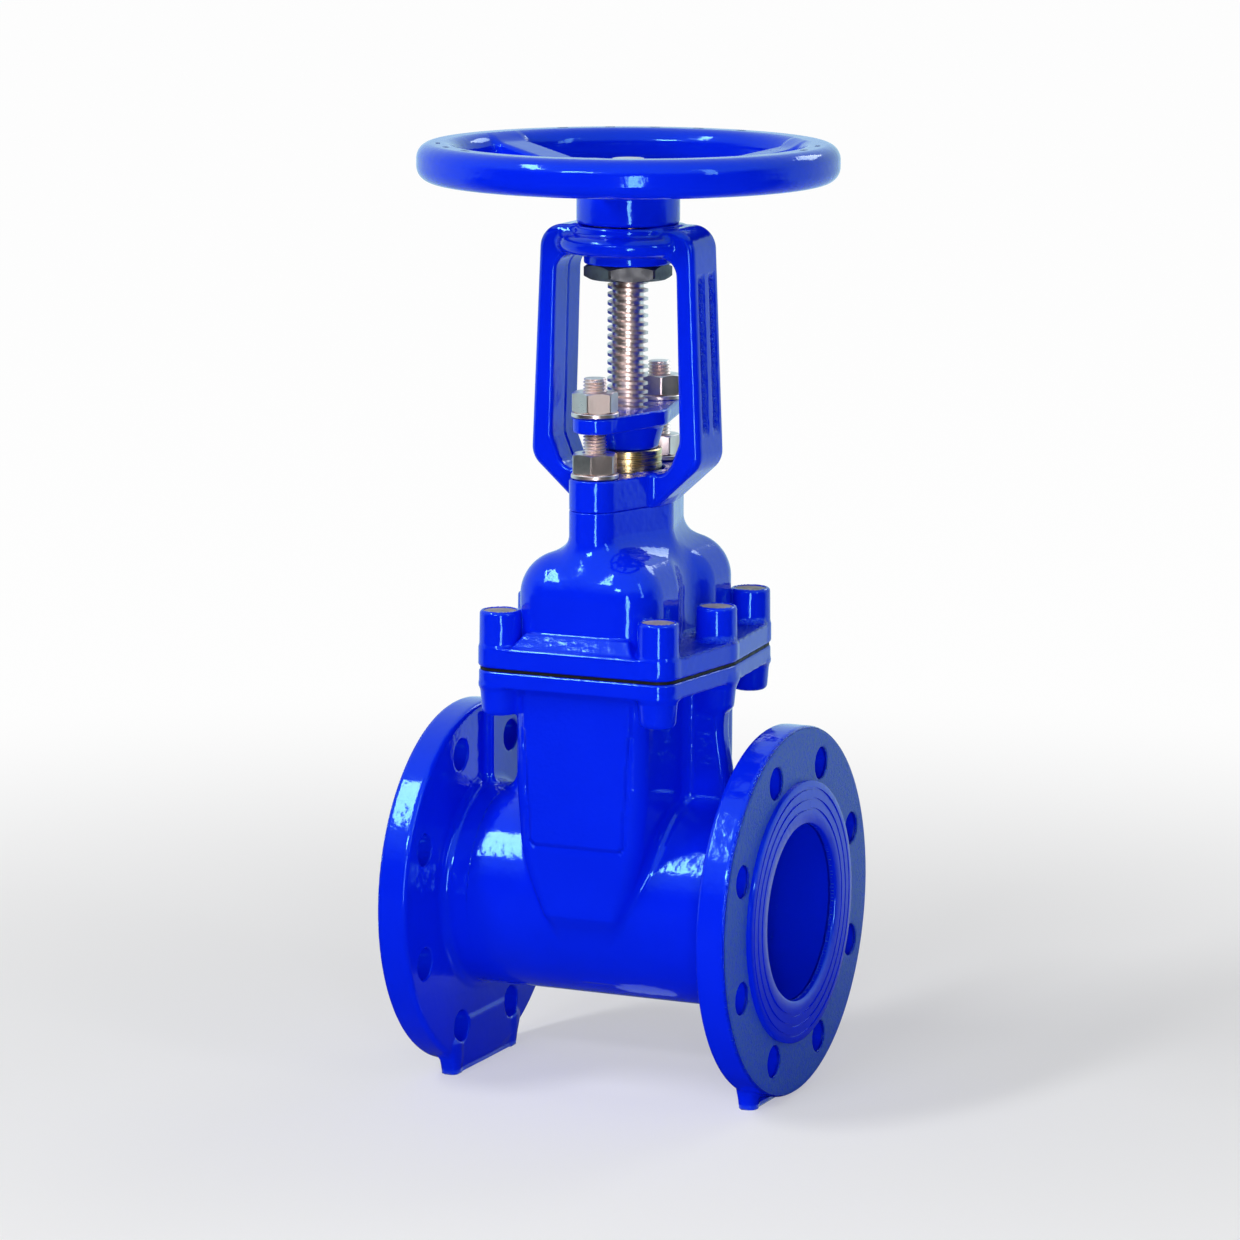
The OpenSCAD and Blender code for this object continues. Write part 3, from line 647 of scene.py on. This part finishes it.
def sized(tree, name, value, kind="NodeSocketFloat"):
    """named input of a Geometry Nodes tree, with its value kept for the modifier"""
    socket = tree.interface.new_socket(name, in_out="INPUT", socket_type=kind)
    tree["set_" + socket.identifier] = value


def bake(name, tree, shape, finish):
    """ends the tree, runs it on an empty mesh and returns the result as a plain mesh"""
    whole = Wire.node("GeometryNodeRealizeInstances", (), {0: shape})
    done = Wire.node("GeometryNodeSetMaterial", (), {"Geometry": whole, "Material": finish})
    last = tree.nodes.new("NodeGroupOutput")
    tree.links.new(done.socket, last.inputs[0])
    start = bpy.data.objects.new(name + "_start", bpy.data.meshes.new(name + "_start"))
    scene.collection.objects.link(start)
    changer = start.modifiers.new("shape", "NODES")
    changer.node_group = tree
    for key in list(tree.keys()):
        if key.startswith("set_"):
            changer[key[4:]] = tree[key]
    seen_by = bpy.context.evaluated_depsgraph_get()
    data = bpy.data.meshes.new_from_object(start.evaluated_get(seen_by))
    start.modifiers.clear()
    bpy.data.objects.remove(start)
    made = bpy.data.objects.new(name, data)
    scene.collection.objects.link(made)
    return made


def joined(parts):
    """several shapes of the tree in hand as one"""
    union = Wire.tree.nodes.new("GeometryNodeJoinGeometry")
    for part in parts:
        Wire.tree.links.new(part.socket, union.inputs[0])
    return Wire(union.outputs[0])


def given(name):
    """value of a named input inside the tree in hand"""
    group = Wire.tree.nodes.new("NodeGroupInput")
    return Wire(group.outputs[name])


tree = shapes("wax_caps")
for name, value in (("Radius", 0.0096), ("Along", corner[0] / 1000), ("Across", corner[1] / 1000),
                    ("Middle", middle[0] / 1000), ("Top", boss_top / 1000 - 0.0008)):
    sized(tree, name, value)
disc = Wire.node("GeometryNodeMeshCircle", {"fill_type": "TRIANGLE_FAN"},
                 {"Vertices": 48, "Radius": given("Radius")})
flat_wax = Wire.node("GeometryNodeSubdivideMesh", (), {"Mesh": disc, "Level": 3})
spot = Wire.node("GeometryNodeInputPosition")
out_from_middle = Wire.node("ShaderNodeVectorMath", {"operation": "LENGTH"}, {0: spot}, "Value")
poured = []
for n, (sx, sy) in enumerate(((-1, -1), (1, -1), (2, 0), (1, 1), (-1, 1), (-2, 0))):
    x = given("Middle") * (sx / 2) if sy == 0 else given("Along") * sx
    y = given("Across") * sy
    where = Wire.node("ShaderNodeCombineXYZ", (), {0: x, 1: y, 2: given("Top")})
    seed = Wire.node("ShaderNodeVectorMath", {"operation": "ADD"},
                     {0: spot, 1: (n * 0.31, n * 0.17, 0)})
    wave = noise(seed, 160.0, 3.0)
    rim_share = Wire.maths("POWER", out_from_middle / given("Radius"), 6.0)
    sink = (wave - 0.62) * 0.0016 * (1.0 - rim_share)
    dent = Wire.node("ShaderNodeCombineXYZ", (), {2: sink})
    uneven = Wire.node("GeometryNodeSetPosition", (), {"Geometry": flat_wax, "Offset": dent})
    poured.append(Wire.node("GeometryNodeTransform", (), {"Geometry": uneven, "Translation": where}))
smooth = Wire.node("GeometryNodeSetShadeSmooth", (), {0: joined(poured)})
caps = bake("wax_caps", tree, smooth, wax)
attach(caps, "valve")
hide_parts(*[f"bolt_cap_{i}" for i in range(1, 7)])


# YOKE
# Cast frame that stands on the bonnet's neck: two arms with a beaded, grooved outer face, a base
# with two ears and a bridge with the turned boss that carries the stem nut.
yoke_foot, yoke_top = foot_of("yoke"), top_of("yoke")
base_top = yoke_foot + 19
window_top = yoke_top - 17


def arm_groove(ay, z):
    """1 in the middle of a groove on the outer face of an arm, 0 outside"""
    across = np.clip(1.9 - np.abs(ay - 7.6) / 2.7, 0, 1)
    along = np.clip((z - base_top - 22) / 6, 0, 1) * np.clip((yoke_top - 26 - z) / 6, 0, 1)
    return across * across * (3 - 2 * across) * along


def yoke_field(x, y, z):
    ax, ay = np.abs(x), np.abs(y)
    frame_2d = polygon(ax, z, [
        (-16, yoke_foot + 9), (16, yoke_foot + 9), (40.5, base_top + 12), (35.5, yoke_top - 14),
        (-35.5, yoke_top - 14), (-40.5, base_top + 12)]) - 14
    window = polygon(ax, z, [
        (-26, base_top + 11), (26, base_top + 11), (30, base_top + 21), (27.5, window_top - 11),
        (-27.5, window_top - 11), (-30, base_top + 21)]) - 11
    outer = both(frame_2d + 2.4 * arm_groove(ay, z) * (ax > 35), ay - 19, 4.5)
    parting = 0.5 * np.clip(1 - ay / 1.6, 0, 1)
    shape = both(outer, parting - window, 2.6)
    base = both(np.maximum(stud_outline(x, ay, neck_reach, neck_ear), z - base_top), yoke_foot - z, 0.9)
    base = both(base, z - base_top, 1.6)
    shape = join(np.maximum(shape, yoke_foot - z), base, 4)
    r = np.hypot(x, y)
    cap = both(r - 32.4, np.abs(z - (window_top + yoke_top) / 2) - (yoke_top - window_top) / 2, 1.8)
    bead = np.hypot(np.maximum(r - 36, 0), z - window_top - 6.4) - 5.5
    ring = both(r - 26, np.abs(z - window_top + 1) - 4.8, 1)
    boss = join(join(cap, bead, 2), ring, 1.5)
    shape = join(shape, boss, 3)
    shape = both(shape, 18.05 - r - 500.0 * (z < base_top + 40), 0.6)
    shape = both(shape, -np.maximum(r - 24.3, yoke_top - 6 - z), 0.4)
    shape = np.maximum(shape, -np.maximum(r - 22.5, z - base_top - 2))
    shape = np.maximum(shape, -np.maximum(np.hypot(x, ay - stud_y) - 7.6, z - base_top - 2))
    return shape


def in_grooves(x, y, z):
    return 0.5 * arm_groove(np.abs(y), z) * (np.abs(x) > 42)


yoke = field_mesh("yoke", yoke_field, (-58, -64, yoke_foot - 2.2), (58, 64, yoke_top + 2.2), 1.2,
                  rough=in_grooves)
yoke.data.materials.append(epoxy)
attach(yoke, "valve")
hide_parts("yoke")


# GLAND AND ITS BUSH
# A coated lozenge plate with a skirt, held down by the two studs, presses a turned brass bush
# into the stuffing box.
gland_foot, gland_top = foot_of("gland"), top_of("gland")


def gland_field(x, y, z):
    ay, r = np.abs(y), np.hypot(x, y)
    plate = both(stud_outline(x, ay, 25, 13), np.abs(z - gland_top + 4.75) - 4.75, 1.8)
    skirt = r - 18 - (z - gland_foot) * 4 / (gland_top - 9.5 - gland_foot)
    skirt = both(both(skirt, gland_foot - z, 0.8), z - gland_top + 2, 0.5)
    shape = join(plate, skirt, 2)
    shape = both(shape, 12.05 - r, 0.5)
    return both(shape, 7.6 - np.hypot(x, ay - stud_y), 0.6)


gland = field_mesh("gland", gland_field, (-28, -61, gland_foot - 2), (28, 61, gland_top + 2), 0.9)
gland.data.materials.append(epoxy)
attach(gland, "valve")
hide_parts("gland")

brass, brass_shader = new_material("turned_brass", 0.25, 1.0, (0.78, 0.60, 0.30, 1))
place = Wire.node("ShaderNodeTexCoord", out="Object")
flat = Wire.node("ShaderNodeVectorMath", {"operation": "MULTIPLY"}, {0: place, 1: (1.0, 1.0, 60.0)})
lines = noise(flat, 60.0, 3.0)
tarnish = noise(place, 120.0, 4.0)
wire_to(mix(tarnish.fit(0.35, 0.75), (0.80, 0.62, 0.33, 1), (0.52, 0.36, 0.16, 1)),
        brass_shader, "Base Color")
wire_to(lines.fit(0.3, 0.7, 0.18, 0.36), brass_shader, "Roughness")
wire_to(bumps(lines * 0.000006), brass_shader, "Normal")
for node in ("stem_nut", "gate_nut"):
    dress(node, brass)

bush_foot, bush_top = foot_of("stem_bush"), top_of("stem_bush")
line = [(12.05, bush_foot), (12.05, bush_top), (19.9, bush_top), (20.5, bush_top - 0.6)]
for cut_z in (bush_top - 3.4, bush_top - 7.2):
    line += [(20.5, cut_z), (19.7, cut_z - 0.4), (19.7, cut_z - 1.2), (20.5, cut_z - 1.6)]
line += [(20.5, bush_foot + 0.8), (19.7, bush_foot)]
bush = lathe("stem_bush", line[::-1], 96)
bush.data.materials.append(brass)
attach(bush, "valve")
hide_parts("stem_bush")


# GLAND STUDS, NUTS AND WASHERS
# Two threaded studs of bright stainless steel, each with a nut and washer on the yoke's base and
# another pair on the gland plate.
steel, steel_shader = new_material("stainless_steel", 0.22, 1.0, (0.70, 0.66, 0.63, 1))
place = Wire.node("ShaderNodeTexCoord", out="Object")
smear = noise(place, 60.0, 3.0)
fine = noise(place, 900.0, 2.0)
wire_to(mix(smear.fit(0.35, 0.7), (0.90, 0.76, 0.72, 1), (0.74, 0.58, 0.54, 1)),
        steel_shader, "Base Color")
wire_to(smear.fit(0.3, 0.7, 0.28, 0.42) + (fine - 0.5) * 0.08, steel_shader, "Roughness")
wire_to(bumps(fine * 0.000004), steel_shader, "Normal")


def threaded_rod(steps):
    """Geometry Nodes for a rod with a thread: a sheared sheet wrapped round the axis, so that its
    rows run along the crests. Inputs: Radius, Depth, Pitch, Foot, Top, Hand, Crest, Root."""
    turns = Wire.maths("CEIL", (given("Top") - given("Foot")) / given("Pitch")) + 2.0
    rows = turns * float(steps) + 1.0
    around = 64
    flat_sheet = Wire.node("GeometryNodeMeshGrid", (), {
        "Size X": 1.0, "Size Y": 1.0, "Vertices X": around + 1, "Vertices Y": rows})
    spot = Wire.node("GeometryNodeInputPosition")
    share_round = Wire.node("ShaderNodeSeparateXYZ", (), {0: spot}, "X") + 0.5
    share_up = Wire.node("ShaderNodeSeparateXYZ", (), {0: spot}, "Y") + 0.5
    row = Wire.maths("ROUND", share_up * (turns * float(steps)))
    angle = share_round * (2 * math.pi) * given("Hand")
    z = given("Foot") + given("Pitch") * (row / float(steps) + share_round - 1.0)
    phase = Wire.maths("FRACT", row / float(steps))
    off = Wire.maths("ABSOLUTE", phase - 0.5) * 2.0
    tooth = Wire.node("ShaderNodeMapRange", (), {
        0: off, 1: given("Crest"), 2: given("Root"), 3: 0.0, 4: 1.0})
    run_out = Wire.node("ShaderNodeMapRange", (), {
        0: given("Top") - z, 1: 0.0, 2: given("Depth"), 3: 1.0, 4: 0.0})
    sunk = Wire.maths("MAXIMUM", tooth, run_out)
    radius = given("Radius") - given("Depth") * sunk
    z = Wire.maths("MAXIMUM", Wire.maths("MINIMUM", z, given("Top")), given("Foot"))
    where = Wire.node("ShaderNodeCombineXYZ", (), {
        0: Wire.maths("COSINE", angle) * radius, 1: Wire.maths("SINE", angle) * radius, 2: z})
    wrapped = Wire.node("GeometryNodeSetPosition", (), {"Geometry": flat_sheet, "Position": where})
    welded = Wire.node("GeometryNodeMergeByDistance", (), {"Geometry": wrapped, "Distance": 0.000005})
    return welded


def capped(side_wall, radius_in):
    """adds a flat disc on the Top and one on the Foot"""
    parts = [side_wall]
    for level in ("Foot", "Top"):
        disc = Wire.node("GeometryNodeMeshCircle", {"fill_type": "NGON"},
                         {"Vertices": 64, "Radius": radius_in})
        up = Wire.node("ShaderNodeCombineXYZ", (), {2: given(level)})
        parts.append(Wire.node("GeometryNodeTransform", (), {"Geometry": disc, "Translation": up}))
    return joined(parts)


tree = shapes("gland_studs")
for name, value in (("Radius", 0.007), ("Depth", 0.0011), ("Pitch", 0.002), ("Hand", 1.0),
                    ("Crest", 0.12), ("Root", 0.85), ("Foot", foot_of("gland_stud_front") / 1000),
                    ("Top", top_of("gland_stud_front") / 1000), ("Spacing", stud_y / 1000)):
    sized(tree, name, value)
rod = capped(threaded_rod(6), given("Radius") - given("Depth"))
pair = []
for sign in (-1, 1):
    move = Wire.node("ShaderNodeCombineXYZ", (), {1: given("Spacing") * sign})
    pair.append(Wire.node("GeometryNodeTransform", (), {"Geometry": rod, "Translation": move}))
studs = bake("gland_studs", tree, joined(pair), steel)
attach(studs, "valve")
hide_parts("gland_stud_front", "gland_stud_rear")


def hex_nut(name, flats, bore, height):
    """hexagon nut with both ends chamfered by a cone; its foot stands at zero"""
    n = 96
    a = (np.arange(n) + 0.5) * 2 * math.pi / n
    wide = flats / 2 / np.cos((a + math.pi / 6) % (math.pi / 3) - math.pi / 6)
    wide = np.minimum(wide, flats / 2 / math.cos(math.pi / 6) - 0.25)
    face = np.minimum(wide, flats / 2 * 0.99)
    drop = (wide - face) * math.tan(math.radians(28)) + 0.05
    rings = [(0 * a + bore, 0 * a + 0.8), (0 * a + bore + 0.8, 0 * a), (face, 0 * a), (wide, drop),
             (wide, height - drop), (face, 0 * a + height), (0 * a + bore + 0.8, 0 * a + height),
             (0 * a + bore, 0 * a + height - 0.8)]
    points, faces = [], []
    for r, z in rings:
        points += list(zip(r * np.cos(a) / 1000, r * np.sin(a) / 1000, z / 1000))
    for k in range(len(rings)):
        m = (k + 1) % len(rings)
        for i in range(n):
            j = (i + 1) % n
            faces.append((k * n + i, k * n + j, m * n + j, m * n + i))
    data = bpy.data.meshes.new(name)
    data.from_pydata(points, [], faces)
    data.update()
    made = bpy.data.objects.new(name, data)
    outward(made)
    data.shade_smooth()
    data.set_sharp_from_angle(angle=math.radians(22))
    return made


def copies(name, source, spots, finish, body_name, replaced, turns=None):
    """places copies of a mesh with Geometry Nodes and makes them one piece"""
    tree = shapes(name)
    placed = []
    for k, spot in enumerate(spots):
        key = f"Place {k + 1}"
        sized(tree, key, spot, "NodeSocketVector")
        got = Wire.node("GeometryNodeObjectInfo", {"transform_space": "ORIGINAL"},
                        {"Object": source}, "Geometry")
        twist = (0, 0, turns[k] if turns else 0)
        placed.append(Wire.node("GeometryNodeTransform", (),
                                {"Geometry": got, "Translation": given(key), "Rotation": twist}))
    made = bake(name, tree, joined(placed), finish)
    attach(made, body_name)
    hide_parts(*replaced)


nut = hex_nut("nut_pattern", 24, 6.6, 12)
nut_spots, nut_names = [], []
for kind in ("base", "gland"):
    for end, sign in (("front", -1), ("rear", 1)):
        nut_names.append(f"{kind}_nut_{end}")
        nut_spots.append((0, sign * stud_y / 1000, foot_of(nut_names[-1]) / 1000))
copies("gland_nuts", nut, nut_spots, steel, "valve", nut_names, (0.26, 0.9, 0.1, 0.5))

washer_line = [(7.6, 0), (7.6, 2.6), (13.6, 2.6), (14, 2.2), (14, 0.4), (13.6, 0)]
washer = lathe("washer_pattern", washer_line, 72)
scene.collection.objects.unlink(washer)
washer_names = [n.replace("nut", "washer") for n in nut_names]
washer_spots = [(0, s[1], foot_of(n) / 1000) for s, n in zip(nut_spots, washer_names)]
copies("gland_washers", washer, washer_spots, steel, "valve", washer_names)
for made in (nut, washer):
    bpy.data.objects.remove(made)


# STEM NUT LOCK NUTS
# Two thin blackened hexagon nuts: one under the bridge keeps the stem nut in the yoke, the other
# on top holds the handwheel.
dark, dark_shader = new_material("blackened_steel", 0.4, 0.8, (0.10, 0.10, 0.11, 1))
place = Wire.node("ShaderNodeTexCoord", out="Object")
patch = noise(place, 150.0, 5.0)
wire_to(patch.fit(0.3, 0.7, 0.3, 0.55), dark_shader, "Roughness")
wire_to(bumps(patch * 0.00008), dark_shader, "Normal")
for name in ("yoke_lock_nut", "handwheel_nut"):
    low, high = foot_of(name), top_of(name)
    pattern = hex_nut(name + "_pattern", 46, 18, high - low)
    copies(name + "_seen", pattern, [(0, 0, low / 1000)], dark, "wheel", [name])
    bpy.data.objects.remove(pattern)


# HANDWHEEL
# Cast in one piece and coated like the body: a round rim and three flat spokes that rise from the
# hub to the rim's top. The stem nut carries it. Cast marks stand along the rim as thin dark plates of
# painted shade.
hub_foot = foot_of("handwheel")
hub_top = foot_of("handwheel_nut")
rim_half_w, rim_half_h = 12.5, 11.2
rim_mid = top_of("handwheel") - 11.25
rim_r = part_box("handwheel")[1].x * 1000 - rim_half_w


def wheel_field(x, y, z):
    r = np.hypot(x, y)
    rim = block(np.abs(r - rim_r), np.abs(z - rim_mid), rim_half_w, rim_half_h, 9.0)
    hub = both(r - 30.4, np.abs(z - (hub_foot + hub_top) / 2) - (hub_top - hub_foot) / 2, 2.2)
    spokes = 1e9
    for k in range(3):
        a = math.radians(40 + 120 * k)
        along = x * math.cos(a) + y * math.sin(a)
        across = np.abs(y * math.cos(a) - x * math.sin(a))
        z_top = hub_top + 1 + (along - 27.4) * (rim_mid + 9.2 - hub_top - 1) / (rim_r - 27.4)
        half_w = 12 + np.clip((60 - along) * 0.03, 0, 2)
        bar = both(across - half_w, np.abs(z - z_top + 5) - 5, 2.8)
        bar = both(bar, np.maximum(20 - along, along - 112), 1)
        spokes = np.minimum(spokes, bar)
    shape = join(join(hub, spokes, 4), rim, 5)
    shape = np.maximum(shape, z - np.where(r > 40, rim_mid + rim_half_h, hub_top))
    return both(shape, 18.05 - r, 0.5)


wheel = field_mesh("handwheel", wheel_field, (-126, -126, hub_foot - 2.5),
                   (126, 126, rim_mid + 16), 1.5)
wheel.data.materials.append(epoxy)
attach(wheel, "wheel")
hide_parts("handwheel")

# Painted shade: the cast marks are thin plates on the rim's top, coloured dark blue for the shade in
# their recesses, with a random mottle.
shadowed, shadowed_shader = new_material("paint_in_cast_marks", 0.5, 0.0, (0.004, 0.012, 0.12, 1))
place = Wire.node("ShaderNodeTexCoord", out="Object")
shade_mottle = noise(place, 900.0, 3.0)
wire_to(mix(shade_mottle.fit(0.4, 0.6), (0.002, 0.008, 0.10, 1), (0.01, 0.03, 0.25, 1)),
        shadowed_shader, "Base Color")
tree = shapes("cast_marks")
for name, value in (("Radius", rim_r / 1000), ("Top", rim_mid / 1000 + 0.01125), ("Length", 0.006),
                    ("Width", 0.0026)):
    sized(tree, name, value)
size = Wire.node("ShaderNodeCombineXYZ", (), {0: given("Length"), 1: given("Width"), 2: 0.0006})
mark = Wire.node("GeometryNodeMeshCube", (), {"Size": size})
cast = []
for degrees in (77, 92, 106, 120, 135, 209, 223, 237, 359, 374):
    low = Wire.node("ShaderNodeCombineXYZ", (), {1: given("Radius"), 2: given("Top") - 0.0003})
    put = Wire.node("GeometryNodeTransform", (), {"Geometry": mark, "Translation": low})
    turned = (0, 0, math.radians(degrees - 90))
    cast.append(Wire.node("GeometryNodeTransform", (), {"Geometry": put, "Rotation": turned}))
marks = bake("cast_marks", tree, joined(cast), shadowed)
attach(marks, "wheel")
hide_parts("handwheel")


# STEM
# Turned stainless spindle with a left-hand trapezoidal thread, a plain polished lower part and
# the head that lifts the gate.
stem_foot, stem_top = foot_of("stem"), top_of("stem")
tree = shapes("stem_thread")
thread_foot = 367.7
for name, value in (("Radius", 0.012), ("Depth", 0.00275), ("Pitch", 0.005), ("Hand", -1.0),
                    ("Crest", 0.37), ("Root", 0.63), ("Foot", thread_foot / 1000),
                    ("Top", stem_top / 1000)):
    sized(tree, name, value)
thread = bake("stem_thread", tree, capped(threaded_rod(12), given("Radius") - given("Depth")), steel)
shank_line = [(0.01, stem_foot), (18, stem_foot), (18, stem_foot + 8), (12, stem_foot + 8),
              (12, thread_foot + 0.1), (0.01, thread_foot + 0.1)]
shank = lathe("stem_shank", shank_line[::-1], 96)
shank.data.materials.append(steel)
for piece in (thread, shank):
    piece.data.set_sharp_from_angle(angle=math.radians(35))
    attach(piece, "stem_group")
    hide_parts("stem")


# GATE
# Iron wedge in a skin of black rubber; it hangs on a bronze nut under the stem's head.
dress("gate", rubber)
